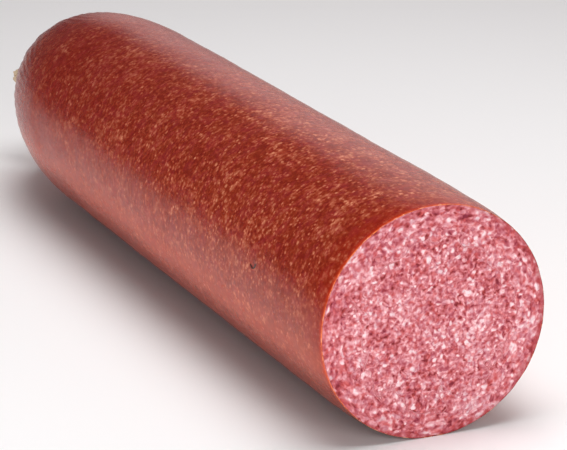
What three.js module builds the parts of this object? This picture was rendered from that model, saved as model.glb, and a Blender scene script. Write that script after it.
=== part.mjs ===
// A large-calibre cured sausage, cut across at one end and gathered and clipped at the other.
// It lies on its side along X: the cut face looks along +X, the clipped end points along -X.
// Millimetres, +Z up. The origin is at the middle of the bounding box, on the surface it rests on.
// The pieces are drawn with the cut face at x = 0, and the group is then centred.
import * as THREE from "three";

// Log
const CUT_WIDTH = 90; // across the cut face
const SQUASH = 0.985; // height over width: a soft log settles a little
const FLAT_DEPTH = 0.4; // how far the cut face is flattened where it rests
const LOG_LENGTH = 387; // from the cut face to where the casing closes on the neck
const SHOULDER = 0.0275; // the cut rim has shrunk in: extra radius behind it, as a share
const SHOULDER_RUN = 12; // distance over which most of that is gained
const TAPER = 0.05; // loss of radius over the whole length, as a share
const TAPER_POWER = 1.3; // above 1, most of that comes late
const DOME_LENGTH = 91; // stretch over which the closed end rounds off
const DOME_FULLNESS = 2.1; // exponent of its outline: 2 is an ellipse
const DOME_END_RADIUS = 5.4; // where the dome runs out into the neck
const NECK_OFFSET = new THREE.Vector3(0, 1.6, 1.2); // the gathers pull the neck off the log's axis

// Casing and filling
const CASING_WALL = 0.8; // skin with the dried edge of the meat that sticks to it
const CLEARANCE = 0.3; // between pieces that touch
const FILLED = 0.86; // how far the meat reaches into the dome, as a share of its quarter turn

// Gathered end
const PLEATS = 20; // main folds of the gathered casing
const PLEAT_START = 42; // distance from the neck where the folds begin to show
const PLEAT_DEPTH = 0.9; // half the depth of a fold, but for the pinch at the neck
const PLEAT_POWER = 1.5; // how late the folds deepen on the way to the neck
const PINCH = 0.45; // share of their depth that the folds lose where they close on the neck
const PINCH_POWER = 6; // how late they lose it
const NECK_RADIUS = 3.6;
const NECK_LENGTH = 7;
const NECK_RING = 0.15; // where the neck gets its first ring, as a share of its length
const TAIL_RADIUS = 7; // at the free end of the casing
const TAIL_REACH = new THREE.Vector3(-21.5, -14.3, -9.5); // from the end of the log to the tail's end
const TAIL_RUFFLE = 0.16; // depth of the tail's ruffles, as a share of its radius
const TAIL_FLARE = 0.8; // below 1, the tail widens most just behind the clip

// Clip: flat aluminium wire pressed round the neck
const CLIP_WIDTH = 4;
const CLIP_WALL = 2.2;
const CLIP_BEVEL = 0.5;
const CLIP_ROUNDING = 0.55; // inside radius of its corners, as a share of the hole
const CLIP_SET = 0.6; // how far past the middle of the neck it sits

// Faceting
const SEGMENTS = 4 * PLEATS;
const BODY_RINGS = 6;
const DOME_RINGS = 12;
const TAIL_RINGS = 9;
const INNER_RINGS = 7;

const AXIS_Z = SQUASH * (CUT_WIDTH / 2) - FLAT_DEPTH;
const neckStart = new THREE.Vector3(-LOG_LENGTH, 0, AXIS_Z).add(NECK_OFFSET);

// Full radius of the casing's outside, at a distance from the cut face.
function logRadius(fromCut) {
  const share = THREE.MathUtils.clamp(fromCut / LOG_LENGTH, 0, 1);
  const shoulder = SHOULDER * (1 - Math.exp(-fromCut / SHOULDER_RUN));
  const body = (CUT_WIDTH / 2) * (1 + shoulder - TAPER * share ** TAPER_POWER);
  const toNeck = LOG_LENGTH - fromCut;
  if (toNeck >= DOME_LENGTH) return body;
  const along = 1 - toNeck / DOME_LENGTH;
  const bulge = Math.max(0, 1 - along ** DOME_FULLNESS) ** (1 / DOME_FULLNESS);
  return DOME_END_RADIUS + (body - DOME_END_RADIUS) * bulge;
}

// Half the depth of the casing's folds, at a distance from the cut face.
function pleatDepth(fromCut) {
  const toNeck = LOG_LENGTH - fromCut;
  if (toNeck >= PLEAT_START) return 0;
  const share = 1 - toNeck / PLEAT_START;
  return PLEAT_DEPTH * share ** PLEAT_POWER * (1 - PINCH * share ** PINCH_POWER);
}

// The middle of the log, at a distance from the cut face: on its axis, but for the dome.
function middle(fromCut) {
  const along = THREE.MathUtils.clamp(1 - (LOG_LENGTH - fromCut) / DOME_LENGTH, 0, 1);
  return new THREE.Vector3(-fromCut, 0, AXIS_Z).addScaledVector(NECK_OFFSET, along ** 2);
}

// One ring of the log's surface. Its folds are cut in from the radius, to twice their half depth.
// The underside is flattened at floorZ.
function logRing(fromCut, radius, depth, floorZ) {
  const { x, y, z } = middle(fromCut);
  const ring = [];
  for (let i = 0; i < SEGMENTS; i++) {
    const turn = (2 * Math.PI * i) / SEGMENTS;
    const r = radius - depth * (1 - Math.cos(PLEATS * turn));
    const height = z + SQUASH * r * Math.sin(turn);
    ring.push(new THREE.Vector3(x, y + r * Math.cos(turn), Math.max(height, floorZ)));
  }
  return ring;
}

// Distances from the cut face: closer together behind the cut, and towards the neck in the dome.
function stations(bodyRings, domeRings, endShare) {
  const domeStart = LOG_LENGTH - DOME_LENGTH;
  const body = Array.from({ length: bodyRings }, (_, i) => domeStart * (i / bodyRings) ** 2);
  const dome = Array.from({ length: domeRings + 1 }, (_, i) => {
    const along = Math.sin((Math.PI / 2) * endShare * (i / domeRings));
    return domeStart + DOME_LENGTH * along;
  });
  return [...body, ...dome];
}

// A closed body through rings of equal count. The first and the last entry are single points.
function loft(rings) {
  const positions = [];
  const starts = rings.map((ring) => {
    const start = positions.length / 3;
    ring.forEach((p) => positions.push(p.x, p.y, p.z));
    return start;
  });
  const index = [];
  for (let r = 0; r + 1 < rings.length; r++) {
    const [a, b] = [starts[r], starts[r + 1]];
    for (let i = 0; i < SEGMENTS; i++) {
      const j = (i + 1) % SEGMENTS;
      if (rings[r].length === 1) index.push(a, b + i, b + j);
      else if (rings[r + 1].length === 1) index.push(a + j, a + i, b);
      else index.push(a + i, b + i, b + j, a + i, b + j, a + j);
    }
  }
  const geometry = new THREE.BufferGeometry();
  geometry.setAttribute("position", new THREE.Float32BufferAttribute(positions, 3));
  geometry.setIndex(index);
  geometry.computeVertexNormals();
  return geometry;
}

// The cavity that the filling takes: the casing's outside, less its folds and its wall.
function innerRadius(fromCut) {
  return logRadius(fromCut) - 2 * pleatDepth(fromCut) - CASING_WALL;
}

function innerRings(shrink) {
  const floorZ = CASING_WALL + shrink;
  return stations(BODY_RINGS, INNER_RINGS, FILLED).map((fromCut) =>
    logRing(fromCut, innerRadius(fromCut) - shrink, 0, floorZ),
  );
}

function tipOf(rings, rounding) {
  return [middle(rounding - rings.at(-1)[0].x)];
}

// Beyond the log the folds run through the clip and fan out into a short tail, which flops aside.
function tailRings() {
  const clipEnd = neckStart.clone().add(new THREE.Vector3(-NECK_LENGTH, 0, 0));
  const end = neckStart.clone().add(TAIL_REACH);
  const path = new THREE.QuadraticBezierCurve3(
    clipEnd,
    clipEnd.clone().add(new THREE.Vector3(-NECK_LENGTH / 2, 0, 0)),
    end,
  );
  const ringAt = (centre, tangent, radius, ruffle, count) => {
    const side = new THREE.Vector3().crossVectors(tangent, new THREE.Vector3(0, 0, 1)).normalize();
    const up = new THREE.Vector3().crossVectors(side, tangent).normalize();
    return Array.from({ length: SEGMENTS }, (_, i) => {
      const turn = (2 * Math.PI * i) / SEGMENTS;
      const r = radius * (1 + ruffle * Math.cos(count * turn));
      return centre.clone().addScaledVector(side, r * Math.cos(turn)).addScaledVector(up, r * Math.sin(turn));
    });
  };
  const alongAxis = new THREE.Vector3(-1, 0, 0);
  const neck = [NECK_RING, 1].map((share) => {
    const centre = neckStart.clone().lerp(clipEnd, share);
    return ringAt(centre, alongAxis, NECK_RADIUS, 0, PLEATS);
  });
  const fan = Array.from({ length: TAIL_RINGS - 2 }, (_, i) => {
    const share = (i + 1) / (TAIL_RINGS - 2);
    const radius = THREE.MathUtils.lerp(NECK_RADIUS, TAIL_RADIUS, share ** TAIL_FLARE);
    return ringAt(path.getPoint(share), path.getTangent(share), radius, TAIL_RUFFLE * share, PLEATS / 2);
  });
  return [...neck, ...fan, [end]];
}

function casing() {
  const inside = innerRings(0);
  const outside = stations(BODY_RINGS, DOME_RINGS, 1).map((fromCut) =>
    logRing(fromCut, logRadius(fromCut), pleatDepth(fromCut), 0),
  );
  const skin = new THREE.MeshStandardMaterial({ color: 0x7d2a1d, roughness: 0.35, metalness: 0 });
  const rings = [tipOf(inside, 2 * CLEARANCE), ...inside.toReversed(), ...outside, ...tailRings()];
  return named("casing", loft(rings), skin);
}

function filling() {
  const rings = innerRings(CLEARANCE);
  const mince = new THREE.MeshStandardMaterial({ color: 0xc9727f, roughness: 0.6, metalness: 0 });
  const cutCentre = [new THREE.Vector3(0, 0, AXIS_Z)];
  return named("filling", loft([cutCentre, ...rings, tipOf(rings, CLEARANCE)]), mince);
}

function clip() {
  const hole = NECK_RADIUS + CLEARANCE;
  const corner = CLIP_WALL + hole * CLIP_ROUNDING;
  const half = hole + CLIP_WALL - CLIP_BEVEL;
  const straight = half - corner;
  const outline = new THREE.Shape();
  const corners = [
    [straight, straight],
    [-straight, straight],
    [-straight, -straight],
    [straight, -straight],
  ];
  corners.forEach(([x, y], i) => {
    outline.absarc(x, y, corner, (i * Math.PI) / 2, ((i + 1) * Math.PI) / 2, false);
  });
  outline.closePath();
  outline.holes.push(new THREE.Path().absarc(0, 0, hole + CLIP_BEVEL, 0, 2 * Math.PI, true));
  const geometry = new THREE.ExtrudeGeometry(outline, {
    depth: CLIP_WIDTH - 2 * CLIP_BEVEL,
    bevelEnabled: true,
    bevelThickness: CLIP_BEVEL,
    bevelSize: CLIP_BEVEL,
    bevelSegments: 2,
    curveSegments: 6,
  });
  const aluminium = new THREE.MeshStandardMaterial({ color: 0xb8babd, roughness: 0.35, metalness: 1 });
  const made = named("clip", geometry, aluminium);
  made.rotation.y = -Math.PI / 2;
  made.position.copy(neckStart).add(new THREE.Vector3(-(NECK_LENGTH - CLIP_WIDTH) / 2 - CLIP_BEVEL - CLIP_SET, 0, 0));
  return made;
}

function named(name, geometry, material) {
  const mesh = new THREE.Mesh(geometry, material);
  mesh.name = name;
  return mesh;
}

const sausage = new THREE.Group();
sausage.add(casing(), filling(), clip());
sausage.position.x = -new THREE.Box3().setFromObject(sausage).getCenter(new THREE.Vector3()).x;

export default sausage;
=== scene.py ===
"""A large-calibre cured sausage on its side: cut across at +X, gathered and clipped at -X."""
import math

import bpy
import numpy as np
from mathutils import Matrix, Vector, noise


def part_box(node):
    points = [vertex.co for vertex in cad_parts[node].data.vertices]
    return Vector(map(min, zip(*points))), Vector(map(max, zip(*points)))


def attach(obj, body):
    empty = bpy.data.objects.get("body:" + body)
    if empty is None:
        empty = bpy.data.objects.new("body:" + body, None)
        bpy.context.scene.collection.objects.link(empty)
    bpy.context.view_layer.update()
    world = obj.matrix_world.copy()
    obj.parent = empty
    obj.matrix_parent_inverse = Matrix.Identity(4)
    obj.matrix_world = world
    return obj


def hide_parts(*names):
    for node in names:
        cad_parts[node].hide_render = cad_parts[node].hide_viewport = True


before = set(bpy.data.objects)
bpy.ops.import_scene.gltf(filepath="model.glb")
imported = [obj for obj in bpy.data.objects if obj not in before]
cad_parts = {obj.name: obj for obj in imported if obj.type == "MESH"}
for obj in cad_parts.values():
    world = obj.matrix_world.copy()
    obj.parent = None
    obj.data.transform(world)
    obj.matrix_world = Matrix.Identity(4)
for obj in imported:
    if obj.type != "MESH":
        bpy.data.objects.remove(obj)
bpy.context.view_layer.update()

# ------------------------------------------------------------------------------------------
# Casing. A tube of thin smoked skin, filled tight and hung to dry, so that it clings to the
# meat and lets its fat show through as freckles. One end is cut off with the meat; the other
# is gathered in folds, which draw in the dome and run through the clip.

MM = 0.001
CUT_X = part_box("filling")[1].x
SQUASH = 0.985
CUT_RADIUS = 45 * MM
AXIS_Z = SQUASH * CUT_RADIUS - 0.4 * MM
LOG_LENGTH = 387 * MM
SHOULDER, SHOULDER_RUN = 0.0275, 12 * MM
TAPER, TAPER_POWER = 0.05, 1.3
DOME_LENGTH = 91 * MM
DOME_FULLNESS = 2.1
DOME_END_RADIUS = 5.4 * MM
PLEATS, PLEAT_START, PLEAT_DEPTH, PLEAT_POWER = 20, 42 * MM, 0.9 * MM, 1.5
PINCH, PINCH_POWER = 0.45, 6
RIM_WALL, WALL, WALL_RUN = 0.45 * MM, 1.3 * MM, 7 * MM
NECK_RADIUS = 3.6 * MM
NECK_LENGTH = 7 * MM
clip_low, clip_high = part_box("clip")
NECK = (clip_low + clip_high) / 2


def share_of_dome(from_cut):
    """0 along the straight log, rising to 1 where the dome closes on the neck."""
    return np.clip(1 - (LOG_LENGTH - from_cut) / DOME_LENGTH, 0, 1)


def log_radius(from_cut):
    """Full radius of the log: wider just behind the shrunken cut rim, then a slow taper."""
    share = np.clip(from_cut / LOG_LENGTH, 0, 1)
    shoulder = SHOULDER * (1 - np.exp(-from_cut / SHOULDER_RUN))
    body = CUT_RADIUS * (1 + shoulder - TAPER * share**TAPER_POWER)
    bulge = (1 - share_of_dome(from_cut) ** DOME_FULLNESS) ** (1 / DOME_FULLNESS)
    return DOME_END_RADIUS + (body - DOME_END_RADIUS) * bulge


def main_fold(from_cut):
    """Half the depth of the main folds, which are pinched again where they close on the neck."""
    share = np.clip(1 - (LOG_LENGTH - from_cut) / PLEAT_START, 0, 1)
    return PLEAT_DEPTH * share**PLEAT_POWER * (1 - PINCH * share**PINCH_POWER)


def wall_depth(from_cut):
    """From the log's full radius in to the casing's inner side: thin at the cut, where it shows."""
    return RIM_WALL + (WALL - RIM_WALL) * (1 - np.exp(-from_cut / WALL_RUN))


def log_point(from_cut, turn, radius):
    """A point at a distance from the cut, an angle round the log and a radius, above the floor."""
    off_axis = share_of_dome(from_cut) ** 2
    y = NECK.y * off_axis + radius * np.cos(turn)
    z = AXIS_Z + (NECK.z - AXIS_Z) * off_axis + SQUASH * radius * np.sin(turn)
    return np.stack([CUT_X - from_cut + 0 * y, y, np.maximum(z, 0)], axis=-1)


def lumps(points, size, seed):
    """Smooth noise from -1 to 1 at each point, with lumps of about that size."""
    flat = (points.reshape(-1, 3) / size + seed).tolist()
    return np.array([noise.noise(p) for p in flat]).reshape(points.shape[:-1])


def mesh_piece(name, points, faces, corners):
    """A smooth mesh piece from its points and faces, with each face corner's place in its map."""
    mesh = bpy.data.meshes.new(name)
    mesh.from_pydata(points, [], faces)
    mesh.uv_layers.new(name="OFBake").data.foreach_set("uv", np.ravel(corners))
    mesh.shade_smooth()
    mesh.set_sharp_from_angle(angle=math.radians(55))
    piece = bpy.data.objects.new(name, mesh)
    bpy.context.scene.collection.objects.link(piece)
    return piece


def tube_faces(rows, columns):
    """Faces and map corners of a tube of points: rows along it, columns round it."""
    i, j = np.meshgrid(np.arange(rows - 1), np.arange(columns), indexing="ij")
    around = (j + 1) % columns
    faces = np.stack([i * columns + j, (i + 1) * columns + j, (i + 1) * columns + around,
                      i * columns + around], axis=-1).reshape(-1, 4)
    corner_rows = np.stack([i, i + 1, i + 1, i], axis=-1)
    corner_columns = np.stack([j, j, j + 1, j + 1], axis=-1)
    return faces, corner_rows.reshape(-1, 4), corner_columns.reshape(-1, 4) / columns


def capped_tube(name, rows, map_rows, cap_width):
    """A tube of rows of points, closed at both ends, with each row's place along its map."""
    columns = rows.shape[1]
    faces, corner_rows, corner_turns = tube_faces(len(rows), columns)
    points = np.concatenate([rows.reshape(-1, 3), [rows[0].mean(axis=0)], [rows[-1].mean(axis=0)]])
    corners = [np.ravel(np.stack([map_rows[corner_rows], corner_turns], axis=-1))]
    faces = faces.tolist()
    last = len(rows) * columns
    ends = ((last, 0, map_rows[0], -cap_width, 1),
            (last + 1, last - columns, map_rows[-1], cap_width, -1))
    for middle, ring, edge, outward, order in ends:
        for j in range(columns):
            pair = (j, j + 1)[::order]
            faces.append((middle, ring + pair[0] % columns, ring + pair[1] % columns))
            corners.append([edge + outward, (j + 0.5) / columns,
                            edge, pair[0] / columns, edge, pair[1] / columns])
    return mesh_piece(name, points, faces, np.concatenate(corners))


ROUND = 420
BODY_ROWS, DOME_ROWS, NECK_ROWS, INSIDE_ROWS = 116, 80, 4, 22
GATHERS, GATHER_START, GATHER_DEPTH = 60, 74 * MM, 0.55 * MM
SAG, RIPPLE, FRAY = 0.3 * MM, 0.11 * MM, 0.28 * MM
UNDER_SIZE = 0.2 * MM  # keeps the highest ripples inside the log's outline
turns = np.linspace(0, 2 * math.pi, ROUND, endpoint=False)

dome_start = LOG_LENGTH - DOME_LENGTH
body = dome_start * np.linspace(0, 1, BODY_ROWS, endpoint=False) ** 1.15
dome = dome_start + DOME_LENGTH * np.sin(np.linspace(0, math.pi / 2, DOME_ROWS))
outside, turn = np.meshgrid(np.concatenate([body, dome]), turns, indexing="ij")
smooth = log_point(outside, turn, log_radius(outside))
to_neck = LOG_LENGTH - outside

# The main folds wander a little on their way to the neck, with finer gathers between them.
drift = 0.11 * lumps(smooth, 26 * MM, 3.1) * np.clip(to_neck / (20 * MM), 0, 1)
fold = main_fold(outside) * (1 - np.cos(PLEATS * (turn + drift)))
gather = np.clip(1 - to_neck / GATHER_START, 0, 1) ** 1.2 * np.clip(to_neck / (16 * MM), 0, 1)
gather = GATHER_DEPTH * gather * np.abs(np.sin(GATHERS / 2 * (turn + 1.6 * drift)))

# The skin sags into the meat as it dries, least at the rim, and the knife frays its edge.
sag = SAG * lumps(smooth, 34 * MM, 7.7) + RIPPLE * lumps(smooth, 9 * MM, 1.3)
sag *= np.clip(to_neck / (30 * MM), 0, 1) * (1 - 0.7 * np.exp(-outside / (5 * MM)))
frayed = FRAY * (1 + lumps(smooth, 5 * MM, 9.2)) * np.exp(-outside / (0.7 * MM))
skin = log_point(outside + frayed, turn, log_radius(outside) - fold - gather - UNDER_SIZE + sag)

neck_x = np.linspace(0, 1, NECK_ROWS + 1)[1:, None] * NECK_LENGTH
neck = np.stack([CUT_X - LOG_LENGTH - neck_x + 0 * turns,
                 NECK.y + NECK_RADIUS * np.cos(turns) + 0 * neck_x,
                 NECK.z + NECK_RADIUS * np.sin(turns) + 0 * neck_x], axis=-1)

inside_end = LOG_LENGTH - 0.22 * DOME_LENGTH
inside = inside_end * (1 - np.linspace(0, 1, INSIDE_ROWS) ** 1.5)
inside_cut, inside_turn = np.meshgrid(inside, turns, indexing="ij")
wall = log_point(inside_cut, inside_turn,
                 log_radius(inside_cut) - 2 * main_fold(inside_cut) - wall_depth(inside_cut))
wall[..., 2] = np.maximum(wall[..., 2], wall_depth(inside_cut))
wall[-1, :, 0] = skin[0, :, 0]

steps = np.linalg.norm(np.diff(skin[:, 0], axis=0), axis=1)
map_rows = np.concatenate([np.linspace(0.012, 0.05, INSIDE_ROWS),
                           0.06 + 0.92 * np.cumsum(np.r_[0, steps]) / steps.sum(),
                           np.linspace(0.982, 0.988, NECK_ROWS)])
casing = capped_tube("skin", np.concatenate([wall, skin, neck]), map_rows, 0.01)


class Wire:
    """A socket in a node tree. Arithmetic on it adds Math nodes; node() adds any other."""

    def __init__(self, tree, socket=None):
        self.tree = tree
        self.socket = socket

    def node(self, kind, settings=None, sockets=None, out=0):
        """Adds a node: its settings first, then the values or links of its sockets."""
        made = self.tree.nodes.new(kind)
        for name, value in (settings or {}).items():
            if name == "stops":
                for stop, (position, colour) in zip(made.color_ramp.elements, value[:2]):
                    stop.position, stop.color = position, colour
                for position, colour in value[2:]:
                    made.color_ramp.elements.new(position).color = colour
            else:
                setattr(made, name, value)
        for name, value in (sockets or {}).items():
            if isinstance(value, Wire):
                self.tree.links.new(value.socket, made.inputs[name])
            else:
                made.inputs[name].default_value = value
        return Wire(self.tree, made.outputs[out]) if len(made.outputs) else None

    def __getitem__(self, output):
        return Wire(self.tree, self.socket.node.outputs[output])

    def math(self, operation, *others):
        return self.node("ShaderNodeMath", {"operation": operation}, dict(enumerate((self, *others))))

    def __add__(self, other):
        return self.math("ADD", other)

    def __sub__(self, other):
        return self.math("SUBTRACT", other)

    def __rsub__(self, other):
        return self.node("ShaderNodeMath", {"operation": "SUBTRACT"}, {0: other, 1: self})

    def __mul__(self, other):
        return self.math("MULTIPLY", other)

    def __truediv__(self, other):
        return self.math("DIVIDE", other)

    def __pow__(self, other):
        return self.math("POWER", other)

    __radd__ = __add__
    __rmul__ = __mul__


def rgb(red, green, blue):
    """A colour from its 0 to 255 screen values."""
    linear = [c / 3294.6 if c < 10.3 else ((c / 255 + 0.055) / 1.055) ** 2.4 for c in (red, green, blue)]
    return (*linear, 1)


def mixed(share, first, second):
    """A colour between two, by a share from 0 to 1."""
    return share.node("ShaderNodeMix", {"data_type": "RGBA"}, {0: share, 6: first, 7: second}, out=2)


def rise(value, low, high):
    """0 below low, 1 above high, and smooth between them."""
    sockets = {"Value": value, "From Min": low, "From Max": high}
    return value.node("ShaderNodeMapRange", {"interpolation_type": "SMOOTHSTEP"}, sockets)


def colour_ramp(value, low, high, *colours):
    """Colours spread evenly from a low value to a high one, given from 0 to 255."""
    share = value.node("ShaderNodeMapRange", None, {"Value": value, "From Min": low, "From Max": high})
    stops = [(i / (len(colours) - 1), rgb(*colour)) for i, colour in enumerate(colours)]
    first, *between, last = stops
    return share.node("ShaderNodeValToRGB", {"stops": [first, last, *between]}, {0: share})


def moved(at, by, amount):
    """A place moved by a vector times an amount."""
    shift = at.node("ShaderNodeVectorMath", {"operation": "SCALE"}, {0: by, "Scale": amount})
    return at.node("ShaderNodeVectorMath", {"operation": "ADD"}, {0: at, 1: shift})


def cloud(at, size, detail=2.0):
    """Soft noise from about 0.25 to 0.75, with lumps of that many millimetres."""
    return at.node("ShaderNodeTexNoise", None, {"Vector": at, "Scale": 1 / size, "Detail": detail})


def stirred(at, size, amount):
    """A place shifted by noise, so that what is drawn there comes out uneven."""
    centred = at.node("ShaderNodeVectorMath", {"operation": "SUBTRACT"},
                      {0: cloud(at, size)["Color"], 1: (0.5, 0.5, 0.5)})
    return moved(at, centred, amount)


def bits(at, size, likely, small, large):
    """Rounded bits on an uneven grid: how much of a bit is here, and the bit's own random value.
    Each is there with that likelihood, and its radius is between two shares of the grid's size."""
    cell = at.node("ShaderNodeTexVoronoi", None, {"Vector": at, "Scale": 1 / size})
    pick = at.node("ShaderNodeSeparateXYZ", None, {0: cell["Color"]})
    radius = small + pick["Y"] * (large - small)
    inside = 1 - rise(cell["Distance"] / radius, 0.35, 1.2)
    there = rise(likely - pick["X"], -0.02, 0.02)
    return inside * there, pick["Z"]


def material(name):
    made = bpy.data.materials.new(name)
    made.use_nodes = True
    made.node_tree.nodes.clear()
    return made, Wire(made.node_tree)


def place_mm(wire):
    """Where a surface point is on the piece, in millimetres."""
    at = wire.node("ShaderNodeTexCoord", out="Object")
    return wire.node("ShaderNodeVectorMath", {"operation": "SCALE"}, {0: at, "Scale": 1 / MM})


def finish(piece, made, wire, sockets, bump, bump_mm):
    """Gives a piece its material: a Principled shader with a bump of that many millimetres."""
    normal = wire.node("ShaderNodeBump", None, {"Height": bump, "Distance": bump_mm * MM, "Strength": 1.0})
    surface = wire.node("ShaderNodeBsdfPrincipled", None, {**sockets, "Normal": normal})
    wire.node("ShaderNodeOutputMaterial", None, {"Surface": surface})
    piece.data.materials.append(made)


LEANEST, FATTEST = 0.35, 0.875


def smoked(at):
    """The smoked skin at a place: its colour, with painted light and shade on its lower side, and its
    distance from the cut in mm.
    """
    where = at.node("ShaderNodeSeparateXYZ", None, {0: at})
    from_cut = CUT_X / MM - where["X"]
    near_rim = 1 - rise(from_cut + cloud(at, 9) * 14, 8, 24)
    uneven = stirred(at, 1.6, 0.7)
    small, small_tone = bits(uneven, 1.65, 0.82, 0.26, 0.6)
    large, large_tone = bits(moved(uneven, (5.1, 2.7, 8.3), 1.0), 3.0, 0.26, 0.16, 0.36)
    specks = small * small_tone * 0.33 + large * (large_tone * 0.2 + 0.12)
    specks = specks * (1 - near_rim * 0.4) * (1.1 - rise(from_cut, 40, 260) * 0.4)
    fat = specks + cloud(at, 1.7, 2) * 0.85 + cloud(at, 3.8, 1) * 0.45
    fat = fat + cloud(at, 11, 2) * 0.3 + cloud(at, 30, 1) * 0.2 - 0.405
    orange = rise(cloud(at, 3.6, 3), 0.36, 0.64)
    colour = colour_ramp(fat, LEANEST, FATTEST, (119, 26, 15), (134, 37, 21), (150, 54, 33), (173, 85, 61),
                         (194, 108, 81), (209, 130, 98))
    colour = mixed(orange * 0.3, colour, rgb(130, 48, 12))
    colour = mixed(rise(cloud(at, 5.2, 2), 0.48, 0.62) * 0.25, colour, rgb(150, 44, 52))
    colour = mixed(near_rim * 0.4, colour, rgb(150, 28, 12))
    aged = rise(from_cut + cloud(at, 20) * 60, 150, 370)
    colour = mixed(aged * 0.45, colour, rgb(112, 8, 4))
    # Colour by height. Below a line a little above the axis the skin is toned towards (150, 60, 45). Lower
    # down it is painted warm orange, painted light from the floor below. The underside where the log rests
    # is painted dark, a painted contact shadow.
    below = AXIS_Z / MM - where["Z"] + cloud(at, 14) * 3
    colour = mixed(rise(below, -14, -7) * 0.22, colour, rgb(150, 60, 45))
    colour = mixed(rise(below, 2, 12) * 0.2, colour, rgb(198, 74, 22))
    painted_underside_shade = rise(below, 14, 24)
    return mixed(painted_underside_shade * 0.5, colour, rgb(98, 16, 4)), from_cut


NICK_FROM_CUT, NICK_UP = 60.5, 9.3


def prick(at):
    """A small slanting nick in the skin, a U that opens upwards: its line, and the flap within it."""
    where = at.node("ShaderNodeSeparateXYZ", None, {0: at})
    behind = CUT_X / MM - NICK_FROM_CUT - where["X"]
    up = where["Z"] - AXIS_Z / MM - NICK_UP
    across, along = up * 0.48 - behind * 1.07, up * 2.55 + behind * 0.78
    off_line = (along + 2.2 - across * across * 0.72) / (1 + across * across * 2.1) ** 0.5
    near = (1 - rise(across * across + along * along, 9, 30)) * rise(0 - where["Y"], 20, 30)
    line = (1 - rise(off_line.math("ABSOLUTE"), 0.5, 1.15)) * (1 - rise(along, 1.6, 2.8))
    return line * near, rise(off_line, -1.1, 1.1) * near


def lit_side(at):
    """How far round towards the cut's upper -Y side a place is, from 0 to 1: the side painted as lit on
    the rim and on the face's edge.
    """
    where = at.node("ShaderNodeSeparateXYZ", None, {0: at})
    across, up = where["Y"], where["Z"] - AXIS_Z / MM
    return rise(up * 0.6 - across * 0.8 + cloud(at, 12) * 16 - 8, -14, 22)


made, wire = material("smoked_casing")
at = place_mm(wire)
colour, from_cut = smoked(at)
# Painted light on the rim. A thin band just behind the cut is a little orange all round, and painted much
# brighter orange on the cut's upper -Y side, as if lit through the skin. The cut edge is painted bright
# orange on that lit side and darker red on the shaded side, with dark red and pale patches at random along
# it.
clear = lit_side(at)
rim_tint_and_painted_light = (1 - rise(from_cut + cloud(at, 4) * 1.6, 0.7, 3.2)) * (clear * 0.6 + 0.15)
colour = mixed(rim_tint_and_painted_light, colour, rgb(196, 52, 18))
edge = 1 - rise(from_cut + cloud(at, 2) * 0.6, 0.45, 0.95)
rim_lit_and_shaded = mixed(clear, rgb(150, 52, 40), rgb(240, 126, 74))
rim_lit_and_shaded = mixed(rise(cloud(at, 1.6, 2), 0.5, 0.66) * (1 - clear * 0.5), rim_lit_and_shaded, rgb(104, 30, 30))
rim_lit_and_shaded = mixed(rise(cloud(at, 2.2, 2), 0.5, 0.62) * 0.75, rim_lit_and_shaded, rgb(250, 176, 140))
colour = mixed(edge, colour, rim_lit_and_shaded)
nick, flap = prick(at)
colour = mixed(nick * 0.95, colour, rgb(62, 14, 0))
grain = cloud(at, 0.9, 3) * 0.6 + cloud(at, 3.2, 2) * 0.9 - flap * 1.1
finish(casing, made, wire,
       {"Base Color": colour, "Roughness": 0.16 + cloud(at, 2.4, 3) * 0.18, "IOR": 1.45,
        "Specular IOR Level": 0.2}, grain, 0.12)
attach(casing, "root")
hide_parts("casing")

# ------------------------------------------------------------------------------------------
# Filling. Fine-ground lean meat and back fat, pressed into the casing in one swirling run,
# and dried. The knife leaves a flat, moist face: pale fat grains in rose-red lean, strung out
# along the wall where the stuffing dragged on the skin, and more at random in the middle.

FACE_STEPS = 272
SIDE_ROWS = 12
GAP = 0.02 * MM


def core_edge(from_cut, turn):
    """A point on the side of the meat, just inside the casing's wall."""
    depth = wall_depth(from_cut) + GAP
    edge = log_point(from_cut, turn, log_radius(from_cut) - 2 * main_fold(from_cut) - depth)
    edge[..., 2] = np.maximum(edge[..., 2], depth)
    return edge


# The face is a square grid of points, spread evenly over the round.
steps = np.linspace(-1, 1, FACE_STEPS + 1)
a, b = np.meshgrid(steps, steps, indexing="ij")
wide = np.abs(a) > np.abs(b)
longer, shorter = np.where(wide, a, b), np.where(wide, b, a)
slant = math.pi / 4 * shorter / np.where(longer == 0, 1, longer)
face_turn = np.where(wide, slant, math.pi / 2 - slant) + np.where(longer < 0, math.pi, 0)
centre = np.array([CUT_X, 0, AXIS_Z])
face = centre + np.abs(longer)[..., None] * (core_edge(0 * longer, face_turn) - centre)
number = np.arange(face_turn.size).reshape(face_turn.shape)
face_quads = np.stack([number[:-1, :-1], number[1:, :-1], number[1:, 1:], number[:-1, 1:]],
                      axis=-1).reshape(-1, 4)
border = np.concatenate([number[-1, :-1], number[:0:-1, -1], number[0, :0:-1], number[:-1, 0]])
around = len(border)

side_cut = (LOG_LENGTH - DOME_LENGTH * 0.25) * np.linspace(0, 1, SIDE_ROWS)[1:] ** 1.4
side = core_edge(side_cut[:, None], face_turn.ravel()[border][None, :])
faces, corner_rows, corner_turns = tube_faces(SIDE_ROWS, around)
first_side = face_turn.size
side_number = first_side + np.arange(side[..., 0].size).reshape(-1, around)
side_number = np.concatenate([border[None], side_number])
side_quads = side_number.ravel()[faces][:, ::-1]
tip = first_side + side[..., 0].size
tip_next = (np.arange(around) + 1) % around
tip_faces = [(tip, side_number[-1, j], side_number[-1, tip_next[j]]) for j in range(around)]

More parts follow.
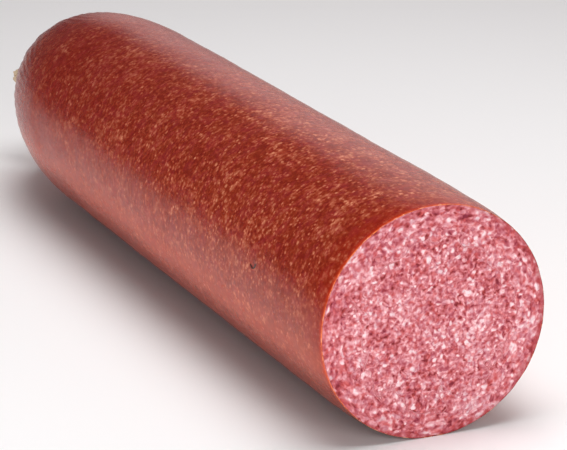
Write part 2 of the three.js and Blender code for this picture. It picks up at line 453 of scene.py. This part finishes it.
face_map = 0.47 + 0.465 * (face[..., 1:] - centre[1:]).reshape(-1, 2) / (CUT_RADIUS - RIM_WALL)
side_place = 0.945 + 0.045 * corner_rows / SIDE_ROWS
side_corners = np.stack([side_place, corner_turns], axis=-1)[:, ::-1]
tip_corners = [[(0.998, (j + 0.5) / around), (0.987, j / around), (0.987, (j + 1) / around)]
               for j in range(around)]
points = np.concatenate([face.reshape(-1, 3), side.reshape(-1, 3), [side[-1].mean(axis=0)]])
corners = [np.ravel(face_map[face_quads]), np.ravel(side_corners), np.ravel(tip_corners)]
filling = mesh_piece("mince", points, [*face_quads.tolist(), *side_quads.tolist(), *tip_faces],
                     np.concatenate(corners))


LEAN, FAT = 0.49, 1.05
DRAG_RADIUS = 31  # smaller than the face's own, so that the grain is drawn out round the wall


def mince(at):
    """The ground meat at a place on the cut: its colour, its height in mm, and its radius there."""
    where = at.node("ShaderNodeSeparateXYZ", None, {0: at})
    across, up = where["Y"], where["Z"] - AXIS_Z / MM
    from_middle = (across * across + up * up) ** 0.5
    turn = up.math("ARCTAN2", across)
    plane = at.node("ShaderNodeCombineXYZ", None, {0: across, 1: up})
    swirl = at.node("ShaderNodeCombineXYZ", None, {0: turn.math("COSINE") * DRAG_RADIUS,
                                                   1: turn.math("SINE") * DRAG_RADIUS, 2: from_middle})
    dragged = rise(from_middle + (cloud(plane, 13) - 0.5) * 40, 30, 31)
    laid = at.node("ShaderNodeMix", {"data_type": "VECTOR"}, {0: dragged, 4: plane, 5: swirl}, out=1)
    laid = stirred(laid, 5, 2.4)
    grain = at.node("ShaderNodeTexVoronoi", None, {"Vector": stirred(laid, 0.8, 0.3), "Scale": 1 / 1.5})
    tone = at.node("ShaderNodeSeparateXYZ", None, {0: grain["Color"]})
    torn = stirred(laid, 1.4, 0.6)
    chunks, chunk_tone = bits(torn, 3.0, 0.52, 0.2, 0.47)
    crumbs, crumb_tone = bits(moved(torn, (7.3, 2.9, 5.1), 1.0), 1.7, 0.7, 0.26, 0.56)
    pits, pit_depth = bits(moved(torn, (1.9, 6.4, 8.2), 1.0), 1.9, 0.24, 0.14, 0.32)
    fatty = tone["X"] * 0.18 + cloud(laid, 1.6, 1) * 0.85 + cloud(plane, 13, 2) * 0.5
    fatty = fatty - rise(from_middle, 34, 45) * 0.04 - pits * pit_depth * 0.3
    fatty = fatty + chunks * (chunk_tone * 0.3 + 0.12) + crumbs * (crumb_tone - 0.35) * 0.4
    shade = colour_ramp(fatty, LEAN, FAT, (126, 24, 30), (188, 82, 88), (217, 128, 136),
                        (240, 174, 181), (255, 224, 228))
    violet = rise(tone["Y"] * 0.5 + cloud(laid, 2.2, 2) * 0.7, 0.5, 0.9)
    colour = mixed(violet * 0.3, shade, rgb(150, 54, 92))
    bright = rise(cloud(moved(laid, (3.3, 8.1, 1.7), 1.0), 1.8, 2), 0.5, 0.68)
    colour = mixed(bright * 0.4, colour, rgb(220, 84, 78))
    return colour, fatty * 0.3 - pits * pit_depth * 0.25, from_middle


relief = bpy.data.node_groups.new("mince_relief", "GeometryNodeTree")
relief.interface.new_socket("Geometry", in_out="INPUT", socket_type="NodeSocketGeometry")
relief.interface.new_socket("Geometry", in_out="OUTPUT", socket_type="NodeSocketGeometry")
wire = Wire(relief)
position = wire.node("GeometryNodeInputPosition")
at = wire.node("ShaderNodeVectorMath", {"operation": "SCALE"}, {0: position, "Scale": 1 / MM})
colour, height, from_middle = mince(at)
sunk = 0.36 - height + 0.1 * cloud(at, 6)  # in mm: the fat stands a little proud of the lean
on_face = rise(wire.node("ShaderNodeSeparateXYZ", None, {0: at})["X"], CUT_X / MM - 0.2, CUT_X / MM - 0.1)
push = wire.node("ShaderNodeCombineXYZ", None, {0: sunk * on_face * -MM})
cut = wire.node("GeometryNodeSetPosition", None, {"Geometry": wire.node("NodeGroupInput"), "Offset": push})
wire.node("NodeGroupOutput", None, {"Geometry": cut})
filling.modifiers.new("mince_relief", "NODES").node_group = relief

made, wire = material("dried_mince")
at = place_mm(wire)
colour, height, from_middle = mince(at)
# The outer ring of the face is darker red. It is partly a dried crust and partly painted shade: four times
# as strong on the side away from the light as on the lit side.
crust_and_shade = rise(from_middle + cloud(at, 5, 3) * 5, 44.2, 46.6) * (1 - lit_side(at) * 0.75)
colour = mixed(crust_and_shade * 0.6, colour, rgb(168, 44, 50))
finish(filling, made, wire,
       {"Base Color": colour, "Roughness": 0.44 + cloud(at, 1.5) * 0.3, "IOR": 1.42,
        "Specular IOR Level": 0.35}, height, 0.3)
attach(filling, "root")
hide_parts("filling")

# ------------------------------------------------------------------------------------------
# Clip. A length of flat aluminium wire, bent round the neck and pressed shut by a clipping
# machine: its two ends meet on top and are driven in between the folds.

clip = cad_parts["clip"]
made, wire = material("pressed_aluminium")
at = place_mm(wire)
scuffs = cloud(at, 0.5, 4)
clip.data.materials.clear()
finish(clip, made, wire,
       {"Base Color": mixed(rise(scuffs, 0.35, 0.65), rgb(168, 170, 174), rgb(206, 208, 210)),
        "Metallic": 1.0, "Roughness": 0.3 + scuffs * 0.2}, scuffs, 0.03)

# ------------------------------------------------------------------------------------------
# Tail. Beyond the clip the gathered film fans out again, with no meat behind it: dry, pale
# and papery, its folds fixed by the clip and its end cut off by the machine.

TAIL_REACH = Vector((-21.5, -14.3, -9.5)) * MM
TAIL_RADIUS = 7 * MM
TAIL_FLARE = 0.8
CREASES, CRINKLES, CREASE_DEPTH = 8, 22, 0.16
TAIL_ROWS, TAIL_ROUND, LIP_ROWS = 46, 288, 8

root = Vector((CUT_X - LOG_LENGTH - NECK_LENGTH, NECK.y, NECK.z))
knee = root + Vector((-NECK_LENGTH / 2, 0, 0))
end = root + Vector((NECK_LENGTH, 0, 0)) + TAIL_REACH
fan_turns = np.linspace(0, 2 * math.pi, TAIL_ROUND, endpoint=False)


def tail_ring(share, radius, depth):
    """A creased ring of film, at a share of the way along the tail."""
    place = root.lerp(knee, share).lerp(knee.lerp(end, share), share)
    along = (knee - root).lerp(end - knee, share).normalized()
    across = along.cross(Vector((0, 0, 1))).normalized()
    up = across.cross(along)
    wander = np.array([noise.noise((2 * math.cos(t), 2 * math.sin(t), 3 * share)) for t in fan_turns])
    crease = np.abs(np.sin(CREASES / 2 * (fan_turns + 0.4 * wander))) ** 0.6 - 1
    crease += 0.3 * (np.abs(np.sin(CRINKLES / 2 * (fan_turns + 0.3 * wander))) - 1)
    r = radius * (0.97 + depth * crease + 0.06 * share * wander)
    tip = 1.1 * MM * share**3 * wander[:, None] * np.array(along)
    return (np.array(place) + r[:, None] * (np.cos(fan_turns)[:, None] * np.array(across)
                                            + np.sin(fan_turns)[:, None] * np.array(up)) + tip)


shares = np.linspace(0, 1, TAIL_ROWS)
spread = TAIL_RADIUS - NECK_RADIUS
fan = [tail_ring(s, NECK_RADIUS + spread * s**TAIL_FLARE, CREASE_DEPTH * s) for s in shares]
lip = [tail_ring(1 - 0.3 * s, TAIL_RADIUS * (0.96 - 0.75 * s), CREASE_DEPTH * (1 - s))
       for s in np.linspace(0, 1, LIP_ROWS)]
tail = capped_tube("tail", np.array([*fan, *lip]), np.linspace(0.03, 0.97, TAIL_ROWS + LIP_ROWS), 0.025)

made, wire = material("dry_film")
at = place_mm(wire)
paper = cloud(at, 1.2, 4)
from_clip = root.x / MM - wire.node("ShaderNodeSeparateXYZ", None, {0: at})["X"]
stained = rise(cloud(at, 5) * 10 - from_clip, -4, 4)
colour = mixed(stained, rgb(190, 166, 138), rgb(130, 84, 60))
colour = mixed(paper * 0.4, colour, rgb(210, 192, 170))
finish(tail, made, wire, {"Base Color": colour, "Roughness": 0.35 + paper * 0.3, "IOR": 1.45}, paper, 0.15)
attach(tail, "root")
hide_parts("casing")

# ------------------------------------------------------------------------------------------
# Studio. A pale floor and soft lights: a broad one overhead, a weak one from the side, a fill on
# the cut face, and a card lying on each side of the log to light its lower half. The world is
# dark but for one bright patch behind, whose sheen runs along the top of the casing.

FLOOR_HALF = 6.0
floor_mesh = bpy.data.meshes.new("floor")
floor_mesh.from_pydata([(-FLOOR_HALF, -FLOOR_HALF, 0), (FLOOR_HALF, -FLOOR_HALF, 0),
                        (FLOOR_HALF, FLOOR_HALF, 0), (-FLOOR_HALF, FLOOR_HALF, 0)], [], [(0, 1, 2, 3)])
floor = bpy.data.objects.new("floor", floor_mesh)
bpy.context.scene.collection.objects.link(floor)
made, wire = material("pale_floor")
surface = wire.node("ShaderNodeBsdfPrincipled", None, {"Base Color": rgb(244, 244, 244), "Roughness": 0.8,
                                                       "Specular IOR Level": 0.2})
wire.node("ShaderNodeOutputMaterial", None, {"Surface": surface})
floor_mesh.materials.append(made)


def panel(name, place, target, width, height, watts):
    """A soft rectangular light at a place, turned to a target."""
    lamp = bpy.data.lights.new(name, "AREA")
    lamp.shape, lamp.size, lamp.size_y, lamp.energy = "RECTANGLE", width, height, watts
    light = bpy.data.objects.new(name, lamp)
    light.location = place
    light.rotation_euler = (Vector(target) - Vector(place)).to_track_quat("-Z", "Y").to_euler()
    bpy.context.scene.collection.objects.link(light)
    return light


aim = Vector((CUT_X - 0.15, 0, 0.04))
panel("overhead", aim + Vector((0.05, 0.05, 0.95)), aim, 0.9, 0.7, 9.5)
panel("side", aim + Vector((0.3, -1.1, 0.4)), aim, 0.9, 0.5, 1.35)
panel("fill", aim + Vector((1.1, -0.2, 0.35)), aim, 0.7, 0.5, 5.3)
for beside in (-0.19, 0.19):
    laid = Vector((CUT_X - 0.2, beside, 0.001))
    card = panel("card", laid, laid + Vector((0, 0, 1)), 0.5, 0.24, 0.62)
    card.data.color = (1.0, 0.93, 0.86)
    card.visible_camera = card.visible_glossy = False

world = bpy.data.worlds.new("studio")
bpy.context.scene.world = world
world.use_nodes = True
wire = Wire(world.node_tree)
look = wire.node("ShaderNodeTexCoord", out="Generated")
towards = wire.node("ShaderNodeVectorMath", {"operation": "DOT_PRODUCT"},
                    {0: look, 1: Vector((-0.6, 0.75, 0.2)).normalized()}, out="Value")
patch = rise(towards, math.cos(math.radians(40)), math.cos(math.radians(29)))
sky = mixed(patch, (0.1, 0.1, 0.105, 1), (1.0, 0.74, 0.73, 1))
world.node_tree.links.new(sky.socket, world.node_tree.nodes["Background"].inputs[0])
bpy.context.scene.view_settings.view_transform = "Standard"

# ------------------------------------------------------------------------------------------
# Camera. A long lens, above and beside the cut end, looks back along the log.

AZIMUTH, ELEVATION, DISTANCE, LENS = math.radians(65.89), math.radians(17.45), 1.237, 197.9
target = Vector((CUT_X - 0.1331, 0, AXIS_Z - 1.4 * MM))
lens = bpy.data.cameras.new("camera")
lens.lens, lens.sensor_width = LENS, 36
camera = bpy.data.objects.new("camera", lens)
away = Vector((math.sin(AZIMUTH) * math.cos(ELEVATION), -math.cos(AZIMUTH) * math.cos(ELEVATION),
               math.sin(ELEVATION)))
camera.location = target + away * DISTANCE
camera.rotation_euler = away.to_track_quat("Z", "Y").to_euler()
bpy.context.scene.collection.objects.link(camera)
bpy.context.scene.camera = camera
